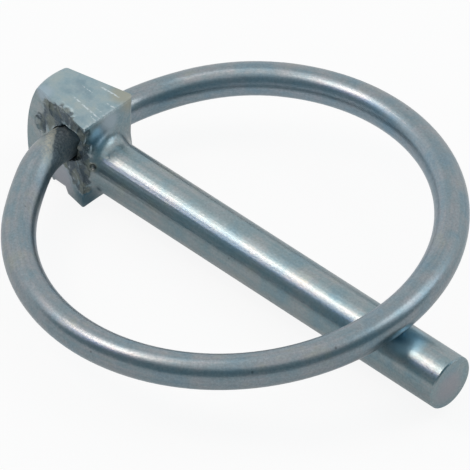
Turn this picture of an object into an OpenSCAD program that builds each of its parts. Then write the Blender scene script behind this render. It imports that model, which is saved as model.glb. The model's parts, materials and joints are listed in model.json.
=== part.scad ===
// Lynch pin: a round pin forged in one piece with its block head, and a ring of
// round spring wire whose two ends turn in a hole across the head.
// The ring swings over the pin's tip end and lies on the shank when it is closed.
// Millimetres. Origin on the pin's axis at the shoulder; +X runs along the pin to
// its tip, +Z is the side that the closed ring lies on, and -Y is the near side.

/* [Pin] */
// Diameter of the shank
pin_d = 6; // [5:0.1:6.6]
// Length of the shank from the shoulder to its flat tip
pin_l = 48.3; // [45:0.1:56]
// Broken edge round the tip
tip_edge = 0.15; // [0.05:0.05:0.5]
// Radius of the forged flare between shank and shoulder
root_r = 1.5; // [0.4:0.1:2.2]

/* [Head] */
// Length of the head from the shoulder to the middle of its back
head_l = 10.35; // [9:0.05:12]
// Height of the flat top above the pin's axis
head_up = 6.8; // [6.4:0.1:8]
// Depth of the flat bottom below the pin's axis
head_down = 4.2; // [3.6:0.1:5]
// Distance from the pin's axis to the near side at the shoulder
near_half = 3.6; // [3.4:0.1:4.4]
// Distance from the pin's axis to the far side at the shoulder
far_half = 4.1; // [3.4:0.1:4.6]
// Angle at which the near side closes in towards the back
near_draft = 10.8; // [4:0.2:12]
// Angle at which the far side closes in towards the back
far_draft = 12; // [4:0.2:13]
// Radius of the back's crown, seen from the side
crown_side_r = 17; // [14:0.5:30]
// Radius of the back's crown, seen from above
crown_plan_r = 10; // [8:0.5:16]
// Depth of the crown's middle below the pin's axis
crown_down = 0.6; // [0:0.1:2]
// Rounding along the top of the back
back_edge_r = 0.8; // [0.3:0.1:1.2]
// Rounding of the upright corner between shoulder and far side
far_corner_r = 0.55; // [0.2:0.05:0.8]
// Rounding of the upright corner between shoulder and near side
near_corner_r = 0.2; // [0.1:0.05:0.3]

/* [Cross hole] */
// Distance of the hole's centre behind the shoulder
bore_back = 3.75; // [3.4:0.05:4.6]
// Height of the hole's centre above the pin's axis
bore_up = 1.8; // [1.2:0.1:2.2]
// Tilt of the hole: its near mouth is high and its far mouth is low
bore_tilt = 4.75; // [0:0.25:6]
// Angle by which the hole runs out of square, seen from above
bore_skew = 0.5; // [0:0.1:1]
// Running clearance all round the wire in the hole
bore_clear = 0.08; // [0.03:0.01:0.1]
// Diameter of the wide mouth punched into the near side
mouth_d = 5.2; // [4.6:0.1:5.4]
// Depth of the wide mouth below the near side
mouth_depth = 1.5; // [0.8:0.1:2]
// Distance of the mouth's centre ahead of the hole's centre
mouth_fore = 0.9; // [0.4:0.1:1]
// Height of the mouth's centre above the hole's centre
mouth_up = 1.4; // [1:0.1:1.6]

/* [Punch marks] */
// Radius of the round-nosed punch
punch_r = 1.6; // [1.2:0.1:2]
// Depth of its marks in the near side
punch_depth = 0.35; // [0.1:0.05:0.5]
// Depth of the nick in the bottom edge of the near side
nick_up = 0.7; // [0.3:0.1:0.9]
// How far the nick runs in from the near side
nick_in = 1.5; // [0.8:0.1:2]

/* [Ring] */
// Diameter of the wire
wire_d = 3.7; // [3.2:0.1:4]
// Inside diameter of the ring
ring_in_d = 41.45; // [38:0.05:43]
// How far the ring's full circle would pass behind the hole's centre
ring_back = 0.4; // [0.3:0.1:1.2]
// Lean of the ring's plane from the hole: its near side is low, its far side high
ring_lean = 8.5; // [0:0.25:10]
// Angle round the ring from its back to where the near arm joins the full circle
near_join = 35; // [30:1:80]
// Angle round the ring from its back to where the far arm joins the full circle
far_join = 60; // [50:1:80]
// Gap between the two wire ends in the middle of the hole
ends_gap = 0.4; // [0.2:0.1:1]
// How much each bend of an arm draws the wire thinner
bend_thin = 0.02; // [0.01:0.01:0.1]
// Play left between the closed ring and the shank
rest_gap = 0.06; // [0.03:0.01:0.2]

/* [Hidden] */
$fn = 96;
// how far a cutting shape runs past the face it cuts
over = 1;
// how far the shank is sunk into the head, and a wire end stands out of the hole
sunk = 1;
stand_out = 0.1;
// how far a bend's arc runs on into the wire before and after it
arc_lap = 0.1;

pin_r = pin_d / 2;
wire_r = wire_d / 2;
bore_r = wire_r + bore_clear;
mouth_r = mouth_d / 2;
ring_r = ring_in_d / 2 + wire_r;
// centre of the ring's circle ahead of the hole, and its farthest reach
ring_fore = ring_r - ring_back;
ring_reach = ring_fore + ring_r;
// height at which the closed ring's wire crosses the shank, and its swing up to there
cross_up = (pin_r + wire_r + rest_gap) / cos(ring_lean - bore_tilt);
rest_swing = asin((cross_up - bore_up) / (ring_reach * cos(bore_tilt)));
// distance of each side of the head from the pin's axis, x ahead of the shoulder
function near_y(x) = near_half + x * tan(near_draft);
function far_y(x) = far_half + x * tan(far_draft);
// where the straight wire ends stop, clear of the hole's tilted mouths
near_end = near_y(bore_r - bore_back) + bore_r * tan(bore_tilt) + stand_out;
far_end = far_y(bore_r - bore_back) + bore_r * tan(bore_tilt) + stand_out;
// the nick's two ends and its highest point, ahead of the hole and behind it
nick_fore = 1.1;
nick_top = 0.6;
nick_aft = -3;

function unit(v) = v / norm(v);

// Point and direction of travel on the ring's full circle, at an angle from its back;
// the circle's plane is that of the hole's axis, turned by the ring's lean.
function ring_point(a) = [ring_fore - ring_r * cos(a),
    ring_r * sin(a) * cos(ring_lean), ring_r * sin(a) * sin(ring_lean)];
function ring_way(a) = [sin(a), cos(a) * cos(ring_lean), cos(a) * sin(ring_lean)];

// Point where two arcs meet smoothly: one leaves p along s, the other runs into q along t.
function arcs_meet(p, s, q, t) =
    let (v = q - p, a = 2 * (s * t - 1), b = -2 * v * (s + t),
         reach = (-b - sqrt(b * b - 4 * a * v * v)) / (2 * a))
    (p + reach * s + q - reach * t) / 2;

// What lies outside a rounding of radius r between the angles a1 and a2.
module round_over(r, a1, a2) {
    far = 4 * r;
    difference() {
        polygon([[0, 0], far * [cos(a1), sin(a1)],
                 2 * far * [cos((a1 + a2) / 2), sin((a1 + a2) / 2)],
                 far * [cos(a2), sin(a2)]]);
        circle(r = r);
    }
}

// The head seen from above: square at the shoulder, drawn in towards the back.
module head_plan() {
    back = -head_l - over;
    near_x = -near_corner_r;
    far_x = -far_corner_r;
    difference() {
        polygon([[0, -near_y(0)], [0, far_y(0)], [back, far_y(back)], [back, -near_y(back)]]);
        translate([near_x, -near_y(near_x) + near_corner_r / cos(near_draft)])
            round_over(near_corner_r, -90 - near_draft, 0);
        translate([far_x, far_y(far_x) - far_corner_r / cos(far_draft)])
            round_over(far_corner_r, 0, 90 + far_draft);
    }
}

// The crowned back, turned about an upright axis: an arc rounded over at the top.
module crown_profile() {
    arc_x = crown_plan_r - crown_side_r;
    edge_z = head_up - back_edge_r;
    edge_x = arc_x + sqrt(pow(crown_side_r - back_edge_r, 2) - pow(edge_z + crown_down, 2));
    difference() {
        intersection() {
            translate([arc_x, -crown_down]) circle(r = crown_side_r);
            translate([0, -head_down]) square([crown_plan_r + over, head_up + head_down]);
        }
        translate([edge_x, edge_z])
            round_over(back_edge_r, atan2(edge_z + crown_down, edge_x - arc_x), 90);
    }
}

module head_block() {
    intersection() {
        translate([0, 0, -head_down - over])
            linear_extrude(head_up + head_down + 2 * over) head_plan();
        translate([crown_plan_r - head_l, (far_half - near_half), 0])
            rotate_extrude() crown_profile();
    }
}

// The forged flare round the shank, cut off flush with the sides of the head.
module root() {
    intersection() {
        rotate([0, 90, 0]) rotate_extrude() difference() {
            translate([0, -sunk]) square([pin_r + root_r, sunk + root_r]);
            translate([pin_r + root_r, root_r]) circle(r = root_r);
        }
        translate([-2 * sunk, -near_half + near_corner_r, -head_down])
            cube([3 * sunk + root_r, near_half + far_half - near_corner_r - far_corner_r,
                  head_down + head_up]);
    }
}

module shank() {
    rotate([0, 90, 0]) {
        translate([0, 0, -sunk]) cylinder(r = pin_r, h = pin_l - tip_edge + sunk);
        translate([0, 0, pin_l - tip_edge])
            cylinder(r1 = pin_r, r2 = pin_r - tip_edge, h = tip_edge);
    }
}

// Places what lies along the hole: its own Y runs down the hole to the far side.
module at_hole() {
    translate([-bore_back, 0, bore_up]) rotate([0, 0, -bore_skew]) rotate([-bore_tilt, 0, 0])
        children();
}

// The cross hole, with the wide mouth that was punched out on the near side.
module cross_hole() {
    at_hole() translate([0, far_half + over, 0]) rotate([90, 0, 0])
        cylinder(r = bore_r, h = near_half + far_half + 2 * over);
    mouth_x = mouth_fore - bore_back;
    translate([mouth_x, mouth_depth - near_y(mouth_x), bore_up + mouth_up])
        rotate([90, 0, 0]) cylinder(r = mouth_r, h = near_half + over);
}

// Marks of the round-nosed punch that squeezed the head on to the wire.
module punch_mark(x, z) {
    translate([x, punch_depth - punch_r - near_y(x), z]) sphere(r = punch_r);
}

// A nick torn out of the bottom edge by the same blows.
module nick() {
    translate([0, nick_in - near_y(-bore_back), 0]) rotate([90, 0, 0])
        linear_extrude(near_half)
            polygon([[nick_fore - bore_back, -head_down],
                     [nick_top - bore_back, nick_up - head_down],
                     [nick_aft - bore_back, -head_down], [-bore_back, -head_down - over]]);
}

module pin() {
    difference() {
        union() {
            head_block();
            root();
            shank();
        }
        cross_hole();
        punch_mark(-bore_back - bore_r, bore_up + bore_r + punch_r);
        punch_mark(-bore_back - bore_r - 1.5 * punch_r, bore_up);
        punch_mark(0, bore_up - 0.6 * punch_r);
        nick();
    }
}

// Wire of diameter d bent to an arc that leaves p along t and ends at q. It runs on a
// little at both ends, inside its neighbours.
module wire_arc(p, t, q, d) {
    c = q - p;
    n = unit(cross(t, c));
    m = cross(n, t);
    r = c * c / (2 * (c * m));
    o = p + r * m;
    lap = atan2(arc_lap, r);
    multmatrix([[-m.x, t.x, n.x, o.x], [-m.y, t.y, n.y, o.y], [-m.z, t.z, n.z, o.z]])
        rotate([0, 0, -lap]) rotate_extrude(angle = 2 * atan2(c * m, c * t) + 2 * lap)
            translate([r, 0]) circle(d = d);
}

// One arm: straight in the hole, then two smooth arcs out to the full circle.
// side is -1 for the near arm and 1 for the far arm.
module arm(side, end, join) {
    out = [0, side, 0];
    p = end * out;
    q = ring_point(side * join);
    way = side * ring_way(side * join);
    meet = arcs_meet(p, out, q, way);
    rotate([-side * 90, 0, 0]) translate([0, 0, ends_gap / 2])
        cylinder(r = wire_r, h = end - ends_gap / 2);
    wire_arc(p, out, meet, wire_d - 2 * bend_thin);
    wire_arc(q, -way, meet, wire_d - bend_thin);
}

module ring() {
    at_hole() rotate([0, -rest_swing, 0]) {
        arm(-1, near_end, near_join);
        arm(1, far_end, far_join);
        rotate([ring_lean, 0, 0]) translate([ring_fore, 0, 0]) rotate([0, 0, near_join - 180])
            rotate_extrude(angle = 360 - near_join - far_join)
                translate([ring_r, 0]) circle(r = wire_r);
    }
}

color([0.62, 0.66, 0.68]) pin();
color([0.70, 0.74, 0.76]) ring();
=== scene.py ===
"""Lynch pin: materials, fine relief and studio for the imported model."""
import json
import math

import bmesh
import bpy
from mathutils import Matrix, Vector, noise


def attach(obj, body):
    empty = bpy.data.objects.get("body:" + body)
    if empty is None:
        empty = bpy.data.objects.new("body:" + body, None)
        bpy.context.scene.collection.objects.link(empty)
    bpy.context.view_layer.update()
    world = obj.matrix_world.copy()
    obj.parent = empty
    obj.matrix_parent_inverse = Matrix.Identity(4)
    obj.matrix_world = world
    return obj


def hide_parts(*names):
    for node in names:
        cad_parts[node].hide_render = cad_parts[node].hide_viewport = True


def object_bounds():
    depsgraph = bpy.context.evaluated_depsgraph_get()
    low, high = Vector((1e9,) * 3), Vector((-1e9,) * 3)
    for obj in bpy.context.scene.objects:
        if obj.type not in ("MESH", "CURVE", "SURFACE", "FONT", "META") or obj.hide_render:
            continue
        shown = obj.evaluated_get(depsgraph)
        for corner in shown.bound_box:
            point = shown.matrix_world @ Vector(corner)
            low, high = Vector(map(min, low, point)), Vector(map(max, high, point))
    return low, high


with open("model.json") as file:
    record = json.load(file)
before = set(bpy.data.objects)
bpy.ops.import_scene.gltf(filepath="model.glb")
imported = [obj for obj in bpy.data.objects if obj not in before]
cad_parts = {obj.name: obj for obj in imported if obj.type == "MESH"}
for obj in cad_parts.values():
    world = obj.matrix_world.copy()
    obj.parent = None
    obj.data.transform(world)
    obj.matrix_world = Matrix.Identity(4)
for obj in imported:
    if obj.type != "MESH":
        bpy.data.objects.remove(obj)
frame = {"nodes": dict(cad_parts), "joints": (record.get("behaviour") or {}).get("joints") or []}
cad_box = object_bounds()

bl_info = {
    "name": "Lynch pin",
    "version": (1, 0, 0),
    "blender": (4, 5, 0),
    "location": "3D View > Sidebar > Lynch pin",
    "description": "Finishes a zinc-plated lynch pin and its studio",
    "category": "Object",
}

MM = 0.001

# the near side of the head: its distance from the pin's axis at the shoulder, mm, and its
# draft; the centre of the punched mouth, (x, z), and its radius, mm
NEAR_HALF, NEAR_DRAFT = 3.6, math.radians(10.8)
MOUTH, MOUTH_R = (-2.85, 3.2), 2.6
# the hole that the wire turns in: a point on its axis, mm, and the way that the axis runs
SWING = frame["joints"][0]
HOLE, HOLE_WAY = Vector(SWING["pos_m"]) / MM, Vector(SWING["axis"]).normalized()
# how near that axis the folded edge of the mouth may come, so that the wire stays free, mm
WIRE_ROOM = 1.96
# where the blows of the punch crushed the near side: x, z and reach, mm
SIDE_BLOWS = ((-6.3, 5.1, 1.7), (-6.9, 5.7, 0.9), (-7.7, 2.2, 1.7), (-6.6, 3.3, 1.5),
              (-5.4, 4.3, 0.9), (-4.6, 6.3, 1.1), (-5.2, 5.4, 1.1), (-3.4, 6.4, 1.1),
              (-2.1, 6.2, 1.0), (-0.7, 5.3, 1.2), (-0.2, 3.8, 1.3), (-0.1, 2.4, 1.3),
              (-0.1, 1.0, 1.4), (-0.2, -0.5, 1.3), (-1.8, 0.0, 1.5), (-3.4, 0.0, 1.3),
              (-2.0, -1.2, 1.2), (-0.5, -2.0, 1.3))
# and the flare of the shank: x, y, z and reach, mm
FLARE_BLOWS = ((0.3, -3.2, 1.3, 0.8), (0.35, -3.1, 0.6, 0.9))
# a small pit beside them and its depth; a burr on the lower edge, behind the nick, and the
# way that it was pushed out, mm
PIT, PIT_DEPTH = Vector((0.67, -2.86, 1.54)), 0.2
BURR, BURR_PUSH = Vector((-5.3, -2.6, -3.75)), Vector((0, -0.06, -0.22))

# the struck part of the pin, which is cut in cells, lies below this x and this y, mm
STRUCK_X, STRUCK_Y = 1.8, -1.5
# the axes that the cells are cut across, and the stretch that is cut on each, mm
CELL_CUTS = ((0, -10.5, STRUCK_X), (2, -4.15, 6.75), (1, -3.75, STRUCK_Y))
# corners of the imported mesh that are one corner, and corners that lie on a cut: how far
# apart they may be, m
SAME_CORNER, ON_CUT = 2e-6, 1e-7
# an edge that bends further than this is a crease; crushed metal has few of them
CREASE, CRUSHED_CREASE = math.radians(28), math.radians(75)

# tints on the forging, some of them painted light: centre and reach, mm, share and colour
TINTS_AND_PAINTED_LIGHT = (
    ((-0.8, 3.7, 6.8), 2.4, 0.75, "99998A"),  # straw at the far front corner of the top
    ((-7.3, -2.2, 6.4), 1.5, 0.7, "98ABB8"),  # pale blue at the near side's top back corner
    ((0, -1.5, 4.6), 1.7, 0.9, "A6C6D8"),  # painted reflection: blue on the shoulder, above the shank
    ((0, 0.2, 5.3), 1.8, 0.9, "97A6AF"),  # and greyer beside it, part of that painted reflection
    ((0, -2.7, -2.9), 2.0, 0.9, "46636F"),  # painted shade: dark blue low on the shoulder
    ((42.7, -0.5, 2.9), 2.6, 0.9, "9CC4D6"),  # painted reflection: blue on the shank under the ring
    ((47.95, -0.3, -0.3), 2.6, 0.6, "979299"),  # lilac on the end of the tip, and darker: a tint and painted shade
    ((-3.8, -2.9, -2.6), 2.6, 0.6, "A9A9B3"),  # lilac low on the near side
)
# scratches on the flat top: start and end, (x, y), and half their width, mm
SCRATCHES = (((-4.7, -0.5), (-0.2, -1.2), 0.14), ((-3.6, 2.6), (-0.8, 2.75), 0.15),
             ((-1.3, 1.1), (0, 1.2), 0.13), ((-1.6, -0.2), (-0.3, -0.3), 0.1),
             ((-1.2, -1.5), (0, -1.7), 0.11), ((-5.2, 1.4), (-3.4, 1.3), 0.07))
# streaks of the plate: length and width, mm; and the roughness of metal with no shine left
STREAK_LONG, STREAK_WIDE = 8, 0.4
DULL = 0.6

# the point on the pin's axis that the lamps face, m; the camera looks this far to the left
# of it and above it, mm
AIM = Vector((0.02, 0, 0))
LOOK_LEFT, LOOK_ABOVE = 1.1357, 1.7317
# the width of the camera's frame, mm
FRAME_WIDTH = 36
# a hair's gap between the pin and the floor, m
FLOOR_GAP = 0.00002
# lamps: name; where each stands, in degrees round from +X and above the floor; its turn,
# width and height, in degrees as the pin sees them; radiance and colour
LAMPS = (("key_box", 217, 56.2, -20, 19, 12.5, 9.2, "FFE1CF"),
         ("sky_box", 226, 44, -20, 19, 7, 1.5, "7396FF"),
         ("key_strip", 203.5, 51, 34, 10.4, 56, 1.33, "FFFFFF"),
         ("back_box", 45.4, 50.4, 34, 21.7, 18.4, 2.5, "FFFFFF"),
         ("low_back_box", 46, 31, 0, 20, 13, 2.2, "E8F4FF"))
# how far away they stand, m, and the watts that give a square metre a radiance of 1
LAMP_DISTANCE, LAMP_WATTS = 0.5, 2.92


def ramp(value, low, high):
    """0 at low, 1 at high, and a smooth way between."""
    share = min(max((value - low) / (high - low), 0.0), 1.0)
    return share * share * (3 - 2 * share)


def below_near_side(place):
    """Depth of a place, in mm, below the drafted near side of the head."""
    return (place.y + NEAR_HALF) * math.cos(NEAR_DRAFT) + place.x * math.sin(NEAR_DRAFT)


def blow_centres():
    """Centre and reach of every blow of the punch, mm."""
    on_side = [(Vector((x, -NEAR_HALF - x * math.tan(NEAR_DRAFT), z)), reach)
               for x, z, reach in SIDE_BLOWS]
    return on_side + [(Vector((x, y, z)), reach) for x, y, z, reach in FLARE_BLOWS]


def crushing(place, blows):
    """How badly the blows crushed the metal at a place in mm, 0 to 1, with ragged borders."""
    wide = place * 0.9
    ragged = Vector((noise.noise(wide), noise.noise(wide + Vector((1, 8, 2))) / 2,
                     noise.noise(wide + Vector((7, 3, 5)))))
    place = place + 0.55 * ragged
    return max(ramp(1 - (place - centre).length / reach, 0.0, 0.45)
               for centre, reach in blows)


def from_mouth(place):
    """The way from the axis of the mouth to a place, across the near side, in mm."""
    return Vector((place.x - MOUTH[0], 0, place.z - MOUTH[1]))


def lip(place):
    """How far the edge of the mouth is folded in over the wire, mm: most at its top, and
    less at its foot, where the wire swings past."""
    way = from_mouth(place)
    share = (1 - ramp(way.length, MOUTH_R, MOUTH_R + 0.9)) * (
        1 - ramp(below_near_side(place), 0.2, 0.9))
    top = ramp(way.normalized().dot(Vector((-0.5, 0, 0.87))), 0.2, 0.9)
    foot = 0.38 * ramp(way.normalized().dot(Vector((0.55, 0, -0.84))), 0.5, 0.95)
    return -way.normalized() * share * max(top, foot) * (0.85 + 0.25 * noise.noise(place / 0.6))


def filling(place):
    """How far crushed metal fills the foot of the mouth, mm: the floor there comes up to
    just below the near side."""
    way = from_mouth(place)
    share = ramp(way.normalized().dot(Vector((0.45, 0, -0.89))), 0.6, 0.9)
    depth, left = below_near_side(place), 0.5 + 0.3 * noise.noise(place / 0.5)
    if way.length > MOUTH_R + 0.05 or depth < left:
        return 0.0
    return share * (depth - left) * 0.9


def clear_of_wire(place):
    """A place in mm, moved out from the hole's axis as far as the wire needs."""
    on_axis = HOLE + HOLE_WAY * (place - HOLE).dot(HOLE_WAY)
    out = place - on_axis
    return on_axis + out.normalized() * max(out.length, WIRE_ROOM)


def in_mouth(place):
    """1 inside the punched mouth and the hole below it, 0 on the sides of the head."""
    inside = 1 - ramp(from_mouth(place).length, MOUTH_R - 0.05, MOUTH_R + 0.12)
    return inside * ramp(below_near_side(place), 0.1, 0.7)


def struck_part(shape):
    """Cuts the pin along the borders of its struck part, and gives that part's corners,
    edges and faces."""
    everything = shape.verts[:] + shape.edges[:] + shape.faces[:]
    for point, normal in ((Vector((0, STRUCK_Y * MM, 0)), Vector((0, 1, 0))),
                          (Vector((STRUCK_X * MM, 0, 0)), Vector((1, 0, 0)))):
        everything = bmesh.ops.bisect_plane(shape, geom=everything, dist=ON_CUT,
                                            plane_co=point, plane_no=normal)["geom"]
    faces = [face for face in shape.faces
             if face.calc_center_median().y < STRUCK_Y * MM
             and face.calc_center_median().x < STRUCK_X * MM]
    edges = list({edge for face in faces for edge in face.edges})
    corners = list({corner for face in faces for corner in face.verts})
    return corners + edges + faces


def cut_in_cells(shape, geometry, cell):
    """Cuts faces by rows of parallel planes, a cell in mm apart."""
    for axis, low, high in CELL_CUTS:
        normal = Vector((0, 0, 0))
        normal[axis] = 1
        for step in range(int((high - low) / cell) + 1):
            point = normal * (low + step * cell) * MM
            geometry = bmesh.ops.bisect_plane(shape, geom=geometry, dist=ON_CUT,
                                              plane_co=point, plane_no=normal)["geom"]
    bmesh.ops.triangulate(shape, faces=[face for face in shape.faces if len(face.verts) > 4])


def press_in(shape, deepest):
    """Moves the corners of the struck part as the punch moved the metal, and keeps for the
    material how far each one is crushed, lies in the hollow of the mouth, and is sunk;
    the folded lip and the filled foot of the mouth add painted shade to the last."""
    crushed = shape.verts.layers.float.new("crushed")
    hollow = shape.verts.layers.float.new("hollow")
    sunk = shape.verts.layers.float.new("sunk")
    blows = blow_centres()
    for corner in shape.verts:
        place = corner.co / MM
        # 1 mm more in y takes in the corners on the border of the cells
        if place.x > STRUCK_X or place.y > STRUCK_Y + 1:
            continue
        fold, risen = lip(place), Vector((0, 0, 0))
        if place.y < STRUCK_Y - 0.01:
            risen.y = -filling(place)
        if fold.length + risen.length > 0:
            corner.co += (clear_of_wire(place + fold + risen) - place) * MM
        filled = min(-risen.y, 1.0)
        corner[hollow] = in_mouth(place + risen) * (1 - filled)
        corner[crushed] = max(crushing(place, blows), filled)
        burr = 1 - ramp((place - BURR).length, 0.1, 0.45)
        corner.co += BURR_PUSH * burr * MM
        pit = 1 - ramp((place - PIT).length, 0.1, 0.4)
        corner.co += corner.normal * -PIT_DEPTH * pit * MM
        if corner[crushed] > 0:
            coarse = 0.5 + 0.5 * noise.noise(place / 0.8)
            fine = 0.5 + 0.5 * noise.noise(place / 0.35 + Vector((3, 1, 4)))
            corner[sunk] = corner[crushed] * (0.1 + 0.6 * coarse + 0.3 * fine)
            if filled == 0:
                corner.co += -corner.normal * deepest * corner[sunk] * MM
            # painted shade: the folded lip and the filled foot of the mouth count as sunk, so
            # they come out darker
            corner[sunk] += 0.4 * fold.length + filled


def mark_creases(shape):
    """Shades the shape smoothly but for its creases. It goes by the directions that the
    faces had before they were pressed in."""
    crushed = shape.verts.layers.float["crushed"]
    for face in shape.faces:
        face.smooth = True
    for edge in shape.edges:
        worn = max(corner[crushed] for corner in edge.verts) > 0.05
        edge.smooth = edge.calc_face_angle(0) < (CRUSHED_CREASE if worn else CREASE)


def new_piece(name, shape, material):
    """Puts a finished shape into the scene, in its material."""
    mesh = bpy.data.meshes.new(name)
    shape.to_mesh(mesh)
    shape.free()
    mesh.materials.append(material)
    piece = bpy.data.objects.new(name, mesh)
    bpy.context.scene.collection.objects.link(piece)
    return piece


def forged_pin(cell, deepest, plate):
    """The pin as the punch left it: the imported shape, with its near side cut into small
    cells, which the blows press in unevenly."""
    shape = bmesh.new()
    shape.from_mesh(frame["nodes"]["pin"].data)
    bmesh.ops.remove_doubles(shape, verts=shape.verts, dist=SAME_CORNER)
    cut_in_cells(shape, struck_part(shape), cell)
    shape.normal_update()
    press_in(shape, deepest)
    mark_creases(shape)
    return new_piece("pin_forging", shape, plate)


def linear(hex_colour):
    """An sRGB hex value as the linear colour that shaders take."""
    channels = [int(hex_colour[i:i + 2], 16) / 255 for i in (0, 2, 4)]
    return tuple(c / 12.92 if c <= 0.04045 else ((c + 0.055) / 1.055) ** 2.4
                 for c in channels) + (1.0,)


def add(tree, kind, inputs=(), stops=(), **settings):
    """Adds a shader node with its settings. inputs are its sockets' values, in order or by
    name: a plain value, an output, or a node, which stands for its first output. stops are
    a colour ramp's places, 0 to 1, and sRGB hex values."""
    node = tree.nodes.new("ShaderNode" + kind)
    for name, value in settings.items():
        setattr(node, name, value)
    for number, (place, hex_colour) in enumerate(stops):
        elements = node.color_ramp.elements
        stop = elements[number] if number < len(elements) else elements.new(1)
        stop.position, stop.color = place, linear(hex_colour)
    sockets = [socket for socket in node.inputs if socket.enabled]
    for name, value in inputs.items() if isinstance(inputs, dict) else enumerate(inputs):
        socket = sockets[name] if isinstance(name, int) else next(
            socket for socket in sockets if socket.name == name)
        if isinstance(value, bpy.types.Node):
            value = next(output for output in value.outputs if output.enabled)
        if isinstance(value, bpy.types.NodeSocket):
            tree.links.new(value, socket)
        else:
            socket.default_value = value
    return node


def new_material(name):
    """An empty material, and its node tree."""
    material = bpy.data.materials.new(name)
    material.use_nodes = True
    material.node_tree.nodes.clear()
    return material, material.node_tree


def soft_spot(tree, place, centre, reach, most=1.0):
    """most at a centre in mm, fading to 0 at its reach, and 0 further out."""
    apart = add(tree, "VectorMath", [place, Vector(centre) * MM], operation="DISTANCE")
    return add(tree, "MapRange", [apart.outputs["Value"], reach * MM, reach * MM * 0.4, 0.0,
                                  most], interpolation_type="SMOOTHSTEP")


def zinc_plate(tree, place, lengthwise, plate, grain):
    """Colour and normal of bright zinc plate with a blue passivate: a cold grey with faint
    blue, lilac and straw clouds where the passivate is thicker, drawn out into streaks
    along lengthwise, and the fine grain of the steel below, which breaks up the edge of a
    highlight."""
    # clouds, about 3.5 mm across
    clouds = add(tree, "TexNoise", {"Vector": place, "Scale": 1 / (3.5 * MM), "Detail": 4.0,
                                    "Roughness": 0.6})
    clouds = add(tree, "ValToRGB", [clouds], stops=((0.33, "CCE3EE"), (0.48, "E0EAED"),
                                                    (0.58, "ECEDEF"), (0.7, "F4F3EB")))
    # streaks of the drawing die
    streaks = add(tree, "TexNoise", {"Vector": lengthwise, "Scale": 1.0, "Detail": 3.0,
                                     "Roughness": 0.6})
    cast = add(tree, "ValToRGB", [streaks], stops=((0.35, "E8F1F2"), (0.65, "FCFAF8")))
    colour = add(tree, "VectorMath", [clouds, cast], operation="MULTIPLY")
    colour = add(tree, "VectorMath", [colour, plate[:3]], operation="MULTIPLY")
    # grain, about 0.25 mm: pores and grains of the steel, which took the plate darker or
    # paler and stand a little in or out
    grains = add(tree, "TexNoise", {"Vector": place, "Scale": 1 / (0.25 * MM), "Detail": 4.0,
                                    "Roughness": 0.75})
    level = add(tree, "MapRange", [grains, 0.3, 0.7, 0.88, 1.26])
    colour = add(tree, "VectorMath", {"Vector": colour, "Scale": level}, operation="SCALE")
    # a pinhole every 3 mm or so, 0.2 mm across
    pinholes = add(tree, "TexVoronoi", {"Vector": place, "Scale": 1 / (3 * MM)})
    pinholes = add(tree, "MapRange", [pinholes, 0.03, 0.06, 0.6, 1.0])
    colour = add(tree, "VectorMath", {"Vector": colour, "Scale": pinholes}, operation="SCALE")
    bump = add(tree, "Bump", {"Height": grains, "Strength": 1.0, "Distance": grain * MM})
    lines = add(tree, "Bump", {"Height": streaks, "Normal": bump, "Strength": 1.0,
                               "Distance": 0.004 * MM})
    return colour, lines


def tinted_plate_with_painted_light(tree, place, on_top, colour):
    """Tints a plate's colour where the passivate took otherwise: bluer on the top, in
    patches of about 2 mm, and in single spots, some of which are painted reflections
    and painted shade."""
    patches = add(tree, "TexNoise", {"Vector": place, "Scale": 1 / (2.2 * MM),
                                     "Detail": 5.0, "Roughness": 0.65})
    bluer = add(tree, "ValToRGB", [patches], stops=((0.35, "7E97A2"), (0.5, "94AAB1"),
                                                    (0.65, "A3B1B1")))
    blue_share = add(tree, "Math", [on_top, 0.7], operation="MULTIPLY")
    colour = add(tree, "Mix", [blue_share, colour, bluer], data_type="RGBA")
    # some of these spots are painted reflections and painted shade, as marked in the list
    for centre, reach, most, spot_colour in TINTS_AND_PAINTED_LIGHT:
        share = soft_spot(tree, place, centre, reach, most)
        colour = add(tree, "Mix", [share, colour, linear(spot_colour)], data_type="RGBA")
    return colour


def scratch(tree, place, start, end, half_width):
    """1 on a straight scratch across the flat top, 0 off it; start and end are (x, y), mm."""
    begin, finish = Vector((*start, 0)) * MM, Vector((*end, 0)) * MM
    along = (finish - begin).normalized()
    from_start = add(tree, "VectorMath", [place, begin], operation="SUBTRACT")
    side = add(tree, "VectorMath", [from_start, Vector((-along.y, along.x, 0))],
               operation="DOT_PRODUCT")
    run = add(tree, "VectorMath", [from_start, along], operation="DOT_PRODUCT")
    half = (finish - begin).length / 2
    off = add(tree, "Math", [side], operation="ABSOLUTE")
    past = add(tree, "Math", [add(tree, "Math", [run, half], operation="SUBTRACT")],
               operation="ABSOLUTE")
    across = add(tree, "MapRange", [off, half_width * MM, half_width * MM / 3, 0.0, 1.0],
                 interpolation_type="SMOOTHSTEP")
    fade = add(tree, "MapRange", [past, half, half * 0.7, 0.0, 1.0],
               interpolation_type="SMOOTHSTEP")
    return add(tree, "Math", [across, fade], operation="MULTIPLY")


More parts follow.
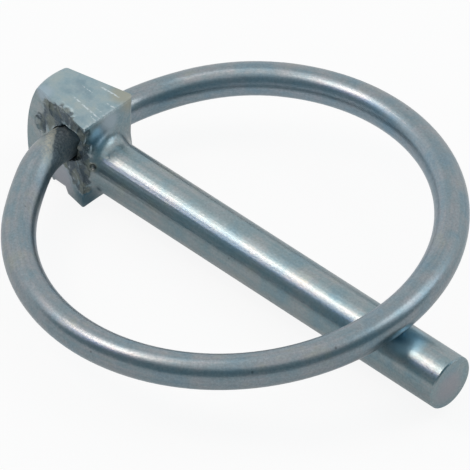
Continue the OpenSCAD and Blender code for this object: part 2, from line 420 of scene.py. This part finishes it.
def bare_metal(tree, place, on_top):
    """1 where the top is rubbed bright: on its broken scratches, and in speckles along the
    sheared edge of the shoulder, most of them on the near side."""
    breaks = add(tree, "TexNoise", {"Vector": place, "Scale": 1 / (0.3 * MM), "Detail": 1.0})
    bare = 0.0
    for start, end, half_width in SCRATCHES:
        bare = add(tree, "Math", [bare, scratch(tree, place, start, end, half_width)],
                   operation="MAXIMUM")
    broken = add(tree, "MapRange", [breaks, 0.4, 0.55, 0.0, 1.0])
    bare = add(tree, "Math", [bare, broken], operation="MULTIPLY")
    parts = add(tree, "SeparateXYZ", [place]).outputs
    edge = add(tree, "MapRange", [parts["X"], -0.45 * MM, 0.0, 0.0, 1.0])
    near = add(tree, "MapRange", [parts["Y"], 2.5 * MM, -1.5 * MM, 0.2, 0.8])
    speckled = add(tree, "MapRange", [breaks, 0.46, 0.66, 0.0, near])
    edge = add(tree, "Math", [edge, speckled], operation="MULTIPLY")
    bare = add(tree, "Math", [bare, edge], operation="MAXIMUM")
    return add(tree, "Math", [bare, on_top], operation="MULTIPLY")


def crushed_metal(tree, place, olive_stain):
    """Share, colour and height of the metal that the punch tore: the deeper it is sunk,
    the darker, with olive stain here and there. Sunk takes in painted shade on the
    folded lip and the filled foot of the mouth."""
    crushed = add(tree, "Attribute", attribute_name="crushed").outputs["Fac"]
    sunk = add(tree, "Attribute", attribute_name="sunk").outputs["Fac"]
    mottle = add(tree, "TexNoise", {"Vector": place, "Scale": 1 / (0.6 * MM), "Detail": 5.0,
                                    "Roughness": 0.7})
    # torn metal, about 0.3 mm
    torn = add(tree, "TexNoise", {"Vector": place, "Scale": 1 / (0.3 * MM), "Detail": 4.0,
                                  "Roughness": 0.7})
    # a depth of 1 and more has the darkest stain, which is painted shade on the lip and foot of
    # the mouth
    depth = add(tree, "Math", [mottle, 1.3, sunk], operation="MULTIPLY_ADD")
    stain = add(tree, "ValToRGB", [depth], stops=((0.7, "A8B2B8"), (1.0, "9AA5AC"),
                                                  (1.0, "5F6B73")))
    olive = add(tree, "TexNoise", {"Vector": place, "Scale": 1 / (1.3 * MM)})
    olive = add(tree, "MapRange", [olive, 0.46, 0.6, 0.0, 0.6])
    stain = add(tree, "Mix", [olive, stain, olive_stain], data_type="RGBA")
    level = add(tree, "MapRange", [torn, 0.3, 0.7, 0.65, 1.25])
    stain = add(tree, "VectorMath", {"Vector": stain, "Scale": level}, operation="SCALE")
    # the border of the torn metal is torn too
    worn = add(tree, "Math", [mottle, 1.3, crushed], operation="MULTIPLY_ADD")
    worn = add(tree, "Math", [torn, 0.9, worn], operation="MULTIPLY_ADD")
    worn = add(tree, "MapRange", [worn, 1.5, 2.15, 0.0, 1.0], interpolation_type="SMOOTHSTEP")
    return worn, stain, torn


def forging_material(look):
    """Zinc-plated forging: bright plate with tints here and there, some of them painted
    reflections and painted shade, and scratches on the top. Where the punch tore the metal
    it is dull, dark and rough, with olive stain and painted shade on the lip of the mouth,
    and matt grime covers the inside of the mouth, painted darker at its border and paler
    deeper in."""
    material, tree = new_material("zinc_plate_on_forging")
    place = add(tree, "TexCoord").outputs["Object"]
    lengthwise = add(tree, "Mapping", {"Vector": place, "Scale": (
        1 / (STREAK_LONG * MM), 1 / (STREAK_WIDE * MM), 1 / (STREAK_WIDE * MM))})
    colour, normal = zinc_plate(tree, place, lengthwise, look.plate, look.grain)
    # the top of the head is what lies above about 6.5 mm
    height = add(tree, "SeparateXYZ", [place]).outputs["Z"]
    on_top = add(tree, "MapRange", [height, 6.3 * MM, 6.6 * MM, 0.0, 1.0])
    colour = tinted_plate_with_painted_light(tree, place, on_top, colour)
    bare = bare_metal(tree, place, on_top)
    colour = add(tree, "Mix", [bare, colour, linear("C0CCD0")], data_type="RGBA")
    worn, stain, torn = crushed_metal(tree, place, look.stain)
    colour = add(tree, "Mix", [worn, colour, stain], data_type="RGBA")
    hollow = add(tree, "Attribute", attribute_name="hollow").outputs["Fac"]
    # painted light and shade: the mouth is painted darker at its border and paler deeper in
    wall = add(tree, "ValToRGB", [hollow], stops=((0.2, "76828A"), (0.5, "A4AEB3"),
                                                  (1.0, "C0CACE")))
    colour = add(tree, "Mix", [hollow, colour, wall], data_type="RGBA")
    # the pit beside the mouth is dark, in a straw-coloured rim
    for reach, shade in ((0.7, "9B9C90"), (0.5, "46525A")):
        share = soft_spot(tree, place, PIT, reach, 0.9)
        colour = add(tree, "Mix", [share, colour, linear(shade)], data_type="RGBA")
    dull = add(tree, "Math", [worn, hollow], operation="MAXIMUM")
    strength = add(tree, "Math", [dull, 0.7], operation="MULTIPLY")
    torn_bump = add(tree, "Bump", {"Height": torn, "Normal": normal, "Strength": strength,
                                   "Distance": 0.08 * MM})
    roughness = add(tree, "MapRange", [dull, 0.0, 1.0, look.roughness, DULL])
    # grime covers the metal inside the mouth
    clean = add(tree, "MapRange", [hollow, 0.0, 1.0, 1.0, 0.2])
    shader = add(tree, "BsdfPrincipled", {"Base Color": colour, "Metallic": clean,
                                          "Roughness": roughness, "Normal": torn_bump})
    add(tree, "OutputMaterial", {"Surface": shader})
    return material


def middle(corners):
    """The middle of the box round some corners."""
    low = Vector([min(corner[axis] for corner in corners) for axis in range(3)])
    high = Vector([max(corner[axis] for corner in corners) for axis in range(3)])
    return (low + high) / 2


def ring_circle():
    """Centre, upright axis and radius of the ring's wire, from three stretches of it: by
    the tip of the pin, and halfway along the ring on the near and the far side."""
    corners = [corner.co for corner in frame["nodes"]["ring"].data.vertices]
    halfway = [corner for corner in corners if abs(corner.x - 18.5 * MM) < 2 * MM]
    tip = middle([corner for corner in corners
                  if corner.x > 36 * MM and abs(corner.y) < 3 * MM])
    near = middle([corner for corner in halfway if corner.y < -15 * MM])
    far = middle([corner for corner in halfway if corner.y > 15 * MM])
    centre = (near + far) / 2
    upright = (tip - centre).cross(far - near).normalized()
    return centre, upright, (far - near).length / 2


def along_ring(tree, place):
    """Coordinates for streaks that run round the ring, and a share that is 0 at the outside
    of its bend and 1 at the inside."""
    centre, upright, radius = ring_circle()
    # the ring's own frame: its circle lies flat round the origin
    turn = upright.rotation_difference(Vector((0, 0, 1)))
    flat = add(tree, "Mapping", {"Vector": place, "Location": -(turn @ centre),
                                 "Rotation": turn.to_euler()})
    own = add(tree, "SeparateXYZ", [flat]).outputs
    round_way = add(tree, "Math", [own["Y"], own["X"]], operation="ARCTAN2")
    out = add(tree, "VectorMath", [flat, (1, 1, 0)], operation="MULTIPLY")
    out = add(tree, "VectorMath", [out], operation="LENGTH").outputs["Value"]
    lengthwise = add(tree, "CombineXYZ", [
        add(tree, "Math", [round_way, radius / (STREAK_LONG * MM)], operation="MULTIPLY"),
        add(tree, "Math", [out, 1 / (STREAK_WIDE * MM)], operation="MULTIPLY"),
        add(tree, "Math", [own["Z"], 1 / (STREAK_WIDE * MM)], operation="MULTIPLY")])
    inside = add(tree, "MapRange", [out, radius - 0.4 * MM, radius - 1.7 * MM, 0.0, 1.0])
    return lengthwise, inside


def mouth_straw_and_shade(tree, place):
    """Share, colour and height of the wire near the mouth: painted shade on the side of the
    shank, with a straw-coloured rim."""
    mottle = add(tree, "TexNoise", {"Vector": place, "Scale": 1 / (0.8 * MM), "Detail": 4.0,
                                    "Roughness": 0.6})
    fine = add(tree, "TexNoise", {"Vector": place, "Scale": 1 / (0.3 * MM), "Detail": 3.0,
                                  "Roughness": 0.7})
    # past is how far into the painted shade a place is, mm
    wander = add(tree, "Math", [mottle, 0.5], operation="SUBTRACT")
    past = add(tree, "VectorMath", [place, (1.3 / MM, 1 / MM, 0)], operation="DOT_PRODUCT")
    past = add(tree, "Math", [past, 8.4], operation="ADD")
    past = add(tree, "Math", [wander, 1.4, past], operation="MULTIPLY_ADD")
    past = add(tree, "Math", [fine, 1.2, past], operation="MULTIPLY_ADD")
    straw = add(tree, "ValToRGB", [fine], stops=((0.3, "929C9E"), (0.5, "ABB0AA"),
                                                 (0.68, "C0BEB2")))
    # the painted shade, darkest along its edge
    edge = add(tree, "ValToRGB", [fine], stops=((0.3, "505C63"), (0.5, "67737A"),
                                                (0.7, "828D90")))
    dark = add(tree, "ValToRGB", [fine], stops=((0.3, "6F7C84"), (0.5, "8B979D"),
                                                (0.7, "A2ABAC")))
    straw_and_shade = add(tree, "Mix", [add(tree, "MapRange", [past, 0.3, 2.0, 0.0, 1.0]), edge, dark],
                data_type="RGBA")
    straw_and_shade = add(tree, "Mix", [add(tree, "MapRange", [past, -0.1, 0.2, 0.0, 1.0]), straw,
                              straw_and_shade], data_type="RGBA")
    # it reaches up to 6 mm from where the wire goes into the mouth
    near = soft_spot(tree, place, (HOLE.x, -3.3, HOLE.z), 6.0)
    rim = add(tree, "MapRange", [past, -2.2, -0.8, 0.0, 1.0], interpolation_type="SMOOTHSTEP")
    return add(tree, "Math", [near, rim], operation="MULTIPLY"), straw_and_shade, fine


def wire_material(look):
    """Zinc-plated spring wire: bright plate over drawn wire, whose streaks run round the
    ring, painted brighter on the inside of its bend; near the punched mouth it is dull and
    straw-coloured, with painted shade on the side towards the shank."""
    material, tree = new_material("zinc_plate_on_wire")
    place = add(tree, "TexCoord").outputs["Object"]
    lengthwise, inside = along_ring(tree, place)
    colour, normal = zinc_plate(tree, place, lengthwise, look.wire_plate, look.grain)
    # painted light: the inside of the bend is painted brighter
    painted_brighter = add(tree, "VectorMath", [colour, (1.14, 1.18, 1.24)], operation="MULTIPLY")
    colour = add(tree, "Mix", [inside, colour, painted_brighter], data_type="RGBA")
    # near the mouth: painted shade on the side of the shank, and a straw-coloured rim
    dull, straw_and_shade, fine = mouth_straw_and_shade(tree, place)
    colour = add(tree, "Mix", [dull, colour, straw_and_shade], data_type="RGBA")
    roughness = add(tree, "MapRange", [dull, 0.0, 1.0, look.roughness, DULL])
    pits = add(tree, "Bump", {"Height": fine, "Normal": normal, "Strength": dull,
                              "Distance": 0.05 * MM})
    shader = add(tree, "BsdfPrincipled", {"Base Color": colour, "Metallic": 1.0,
                                          "Roughness": roughness, "Normal": pits})
    add(tree, "OutputMaterial", {"Surface": shader})
    return material


def lay_floor(height, width, material):
    """A square floor under the pin: a grid, moved to its place in its mesh."""
    shape = bmesh.new()
    bmesh.ops.create_grid(shape, x_segments=1, y_segments=1, size=width / 2)
    bmesh.ops.translate(shape, verts=shape.verts, vec=(AIM.x, 0, height))
    piece = new_piece("floor", shape, material)


def floor_material(by_camera, by_mirror):
    """Matt white floor paint. Its share of pure white is by_camera for the camera, and
    by_mirror for reflections and for what is seen through glass."""
    paint, tree = new_material("floor_white")
    path = add(tree, "LightPath").outputs
    mirror = add(tree, "Math", [path["Is Glossy Ray"], path["Is Transmission Ray"]],
                 operation="MAXIMUM")
    mirror = add(tree, "Math", [mirror, by_mirror], operation="MULTIPLY")
    share = add(tree, "Math", [path["Is Camera Ray"], by_camera], operation="MULTIPLY")
    share = add(tree, "Math", [share, mirror], operation="MAXIMUM")
    add(tree, "OutputMaterial", {"Surface": add(tree, "MixShader", [
        share, add(tree, "BsdfDiffuse", [linear("D9DCDD")]),
        add(tree, "Emission", [(1, 1, 1, 1), 1.0])])})
    return paint


def dim_wall(radius, low, height, middle_angle, half_angle, fade):
    """The dim side of the room: an upright round wall, which fades out at its top and at
    both ends. Lengths are in m, and angles in degrees."""
    start = math.radians(middle_angle - half_angle)
    shape = bmesh.new()
    foot = bmesh.ops.create_vert(
        shape, co=(radius * math.cos(start), radius * math.sin(start), low))["vert"]
    top = bmesh.ops.extrude_vert_indiv(shape, verts=foot)["verts"]
    bmesh.ops.translate(shape, verts=top, vec=(0, 0, height))
    bmesh.ops.spin(shape, geom=shape.verts[:] + shape.edges[:], cent=(0, 0, 0),
                   axis=(0, 0, 1), steps=48, angle=math.radians(2 * half_angle))
    bmesh.ops.translate(shape, verts=shape.verts, vec=AIM)
    wall = new_piece("dim_wall", shape, wall_material(
        low + height * 0.45, low + height, middle_angle, half_angle, fade))
    wall.visible_camera = False


def wall_material(solid, clear, middle_angle, half_angle, fade):
    """Dim grey that glows evenly. It is solid up to one height and clear at another, m, and
    fades out over the last degrees towards both ends."""
    paint, tree = new_material("wall_dim_grey")
    place = add(tree, "TexCoord").outputs["Object"]
    way = add(tree, "VectorMath", [place, (1, 1, 0)], operation="MULTIPLY")
    way = add(tree, "VectorMath", [way], operation="NORMALIZE")
    towards = (math.cos(math.radians(middle_angle)), math.sin(math.radians(middle_angle)), 0)
    ahead = add(tree, "VectorMath", [way, towards], operation="DOT_PRODUCT").outputs["Value"]
    ends = add(tree, "MapRange", [ahead, math.cos(math.radians(half_angle)),
                                  math.cos(math.radians(half_angle - fade)), 0.0, 1.0],
               interpolation_type="SMOOTHSTEP")
    up = add(tree, "SeparateXYZ", [place]).outputs["Z"]
    top = add(tree, "MapRange", [up, clear, solid, 0.0, 1.0], interpolation_type="SMOOTHSTEP")
    shade = add(tree, "Math", [ends, top], operation="MULTIPLY")
    add(tree, "OutputMaterial", {"Surface": add(tree, "MixShader", [
        shade, add(tree, "BsdfTransparent"),
        add(tree, "Emission", [linear("8399A1"), 1.0])])})
    return paint


def white_dome():
    """A white world, for every ray."""
    world = bpy.data.worlds.new("studio_white")
    world.use_nodes = True
    tree = world.node_tree
    tree.nodes.clear()
    add(tree, "OutputWorld", {"Surface": add(tree, "Background", [(1, 1, 1, 1), 1.0])})
    return world


def lamp(name, around, up, turn, width, height, radiance, hex_colour):
    """A soft box that faces the pin. around and up give where it stands, in degrees from
    +X and above the floor; turn, width and height are degrees too, as the pin sees it."""
    data = bpy.data.lights.new(name, "AREA")
    data.shape = "RECTANGLE"
    data.size = 2 * LAMP_DISTANCE * math.tan(math.radians(width / 2))
    data.size_y = 2 * LAMP_DISTANCE * math.tan(math.radians(height / 2))
    data.energy = LAMP_WATTS * radiance * data.size * data.size_y
    data.color = linear(hex_colour)[:3]
    box = bpy.data.objects.new(name, data)
    towards = Vector((math.cos(math.radians(up)), 0, math.sin(math.radians(up))))
    towards.rotate(Matrix.Rotation(math.radians(around), 3, "Z"))
    box.matrix_world = (Matrix.Translation(AIM + towards * LAMP_DISTANCE)
                        @ towards.to_track_quat("Z", "Y").to_matrix().to_4x4()
                        @ Matrix.Rotation(math.radians(turn), 4, "Z"))
    bpy.context.scene.collection.objects.link(box)


def studio_camera(view):
    """The camera, with the stand and the lens that the settings give."""
    az, el = view.azimuth, view.elevation
    forward = Vector((math.sin(az) * math.cos(el), math.cos(az) * math.cos(el),
                      -math.sin(el)))
    level = Vector((math.cos(az), -math.sin(az), 0))
    steep = forward.cross(level)
    right = math.cos(view.roll) * level + math.sin(view.roll) * steep
    down = math.cos(view.roll) * steep - math.sin(view.roll) * level
    centre = AIM - LOOK_LEFT * MM * right - LOOK_ABOVE * MM * down
    data = bpy.data.cameras.new("camera")
    data.lens = view.lens
    data.sensor_width = FRAME_WIDTH
    camera = bpy.data.objects.new("camera", data)
    turn = Matrix((right, -down, -forward)).transposed().to_4x4()
    camera.matrix_world = Matrix.Translation(centre - view.distance * forward) @ turn
    bpy.context.scene.collection.objects.link(camera)
    return camera


class PinFinish(bpy.types.PropertyGroup):
    """Finish of the pin and its ring"""
    roughness: bpy.props.FloatProperty(
        name="Roughness", description="How far the plate spreads a reflection",
        default=0.28, min=0.05, max=0.6, subtype="FACTOR")
    grain: bpy.props.FloatProperty(
        name="Grain depth", description="Depth of the fine grain under the plate, mm",
        default=0.014, min=0.0, max=0.1)
    wire_plate: bpy.props.FloatVectorProperty(
        name="Plate on the wire", description="Colour of the zinc plate on the ring",
        subtype="COLOR", size=4, default=linear("959BA0"), min=0.0, max=1.0)
    plate: bpy.props.FloatVectorProperty(
        name="Plate", description="Colour of the zinc plate on the pin",
        subtype="COLOR", size=4, default=linear("9BA3A6"), min=0.0, max=1.0)
    stain: bpy.props.FloatVectorProperty(
        name="Stain", description="Colour of the stain where the metal is crushed",
        subtype="COLOR", size=4, default=linear("90968C"), min=0.0, max=1.0)
    cell: bpy.props.FloatProperty(
        name="Cell", description="Size of the cells that the near side is cut into, mm",
        default=0.13, min=0.08, max=0.5)
    deepest: bpy.props.FloatProperty(
        name="Crushing", description="Depth of the deepest crushing on the near side, mm",
        default=0.26, min=0.0, max=1.0)


class StudioSettings(bpy.types.PropertyGroup):
    """Stand and lens of the studio's camera"""
    azimuth: bpy.props.FloatProperty(
        name="Azimuth", description="Direction that the camera looks in, from +Y to +X",
        default=math.radians(-41.195), subtype="ANGLE")
    elevation: bpy.props.FloatProperty(
        name="Elevation", description="How steeply the camera looks down",
        default=math.radians(42.472), subtype="ANGLE")
    roll: bpy.props.FloatProperty(
        name="Roll", description="Turn of the camera about its own line of sight",
        default=math.radians(-2.171), subtype="ANGLE")
    distance: bpy.props.FloatProperty(
        name="Distance", description="From the camera to the pin",
        default=0.589, unit="LENGTH")
    lens: bpy.props.FloatProperty(
        name="Lens", description="Focal length on a 36 mm frame, mm", default=433.03)


class LYNCHPIN_OT_pin(bpy.types.Operator):
    """Finish the forged pin"""
    bl_idname = "lynchpin.pin"
    bl_label = "Pin"

    def execute(self, context):
        settings = context.scene.lynch_pin
        plate = forging_material(settings)
        piece = forged_pin(settings.cell, settings.deepest, plate)
        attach(piece, "pin")
        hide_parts("pin")
        return {"FINISHED"}


class LYNCHPIN_OT_ring(bpy.types.Operator):
    """Finish the spring-wire ring"""
    bl_idname = "lynchpin.ring"
    bl_label = "Ring"

    def execute(self, context):
        plate = wire_material(context.scene.lynch_pin)
        for entry in frame["nodes"]["ring"].material_slots:
            entry.material = plate
        return {"FINISHED"}


class LYNCHPIN_OT_studio(bpy.types.Operator):
    """Set up floor, surroundings, lamps and camera"""
    bl_idname = "lynchpin.studio"
    bl_label = "Studio"

    def execute(self, context):
        scene = context.scene
        lay_floor(height=cad_box[0][2] - FLOOR_GAP, width=6,
                  material=floor_material(by_camera=0.9, by_mirror=0.35))
        scene.world = white_dome()
        dim_wall(radius=0.6, low=0.06, height=1.04, middle_angle=-49, half_angle=107, fade=25)
        for values in LAMPS:
            lamp(*values)
        scene.camera = studio_camera(scene.studio_camera)
        scene.view_settings.view_transform = "Standard"
        return {"FINISHED"}


class LYNCHPIN_PT_panel(bpy.types.Panel):
    bl_label = "Lynch pin"
    bl_idname = "LYNCHPIN_PT_panel"
    bl_space_type = "VIEW_3D"
    bl_region_type = "UI"
    bl_category = "Lynch pin"

    def draw(self, context):
        layout = self.layout
        for name in PinFinish.__annotations__:
            layout.prop(context.scene.lynch_pin, name)
        layout.operator(LYNCHPIN_OT_pin.bl_idname)
        layout.operator(LYNCHPIN_OT_ring.bl_idname)
        for name in StudioSettings.__annotations__:
            layout.prop(context.scene.studio_camera, name)
        layout.operator(LYNCHPIN_OT_studio.bl_idname)


CLASSES = (PinFinish, StudioSettings, LYNCHPIN_OT_pin, LYNCHPIN_OT_ring,
           LYNCHPIN_OT_studio, LYNCHPIN_PT_panel)


def register():
    for item in CLASSES:
        bpy.utils.register_class(item)
    bpy.types.Scene.lynch_pin = bpy.props.PointerProperty(type=PinFinish)
    bpy.types.Scene.studio_camera = bpy.props.PointerProperty(type=StudioSettings)


def unregister():
    del bpy.types.Scene.studio_camera
    del bpy.types.Scene.lynch_pin
    for item in reversed(CLASSES):
        bpy.utils.unregister_class(item)


def main():
    register()
    bpy.ops.lynchpin.studio()
    bpy.ops.lynchpin.pin()
    bpy.ops.lynchpin.ring()


if __name__ == "__main__":
    main()
